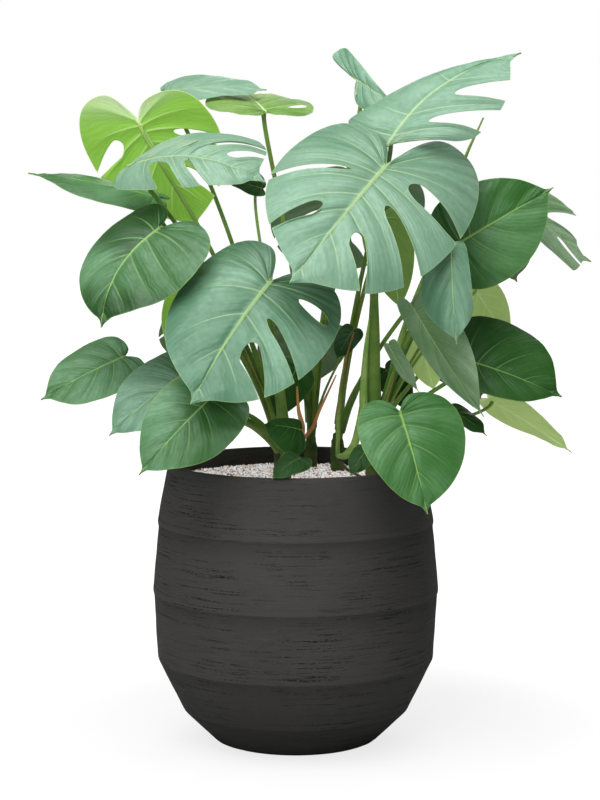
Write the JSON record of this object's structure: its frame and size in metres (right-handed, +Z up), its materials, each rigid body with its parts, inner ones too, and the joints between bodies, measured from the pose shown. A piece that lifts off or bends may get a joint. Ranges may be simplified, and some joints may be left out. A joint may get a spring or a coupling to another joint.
{
  "type": "potted swiss cheese plant",
  "caption": "Large-leaved climbing house plant with slit and heart-shaped leaves on long stalks, rooted in a round banded floor pot filled with soil and gravel.",
  "frame": {"origin": "centre of the pot's foot, on the floor", "axes": "+Z up along the pot's axis, -Y towards the viewer of the picture, +X to the viewer's right"},
  "size_m": [0.7913, 0.5458, 0.9671],
  "materials": {
    "pot": "matte",
    "soil": "matte",
    "gravel": "matte",
    "stem": "satin",
    "leaf_blue_green": "satin",
    "leaf_green": "satin",
    "leaf_deep": "satin",
    "leaf_sage": "satin",
    "leaf_lime": "satin"
  },
  "bodies": {
    "root": {"pot": "pot", "soil": "soil", "gravel": "gravel", "stems_left": "stem", "stems_front": "stem", "stems_middle": "stem", "stems_right": "stem", "stems_back": "stem", "stems_back_left": "stem", "leaf_front_large": "leaf_blue_green", "leaf_front_left": "leaf_blue_green", "leaf_low_left_front": "leaf_green", "leaf_low_right_front": "leaf_green", "leaf_small_front": "leaf_deep", "leaf_rim_front": "leaf_deep", "leaf_rim_right": "leaf_deep", "leaf_left_heart": "leaf_deep", "leaf_far_left_heart": "leaf_green", "leaf_low_left_grey": "leaf_blue_green", "leaf_far_left": "leaf_sage", "leaf_left_fingered": "leaf_blue_green", "leaf_lime_left": "leaf_lime", "leaf_top_left": "leaf_lime", "leaf_top_pale": "leaf_blue_green", "leaf_lime_behind": "leaf_lime", "leaf_cup_small": "leaf_deep", "leaf_right_high": "leaf_green", "leaf_right_low": "leaf_deep", "leaf_right_pale": "leaf_sage", "leaf_right_small": "leaf_deep", "leaf_right_hanging": "leaf_green", "leaf_right_folded": "leaf_sage", "leaf_top_right": "leaf_blue_green", "leaf_top_middle": "leaf_blue_green", "leaf_far_right": "leaf_sage", "leaf_lime_right": "leaf_lime", "leaf_lime_middle": "leaf_lime", "leaf_dark_behind": "leaf_deep", "leaf_dark_low": "leaf_deep", "leaf_grey_narrow": "leaf_sage", "leaf_inner_left": "leaf_deep", "leaf_inner_middle": "leaf_deep", "leaf_back_high": "leaf_blue_green", "leaf_back_left": "leaf_green", "leaf_back_right": "leaf_blue_green", "leaf_back_low_right": "leaf_deep", "leaf_back_low_left": "leaf_deep", "leaf_back_far_left": "leaf_green", "leaf_back_middle": "leaf_green"}
  },
  "joints": []
}
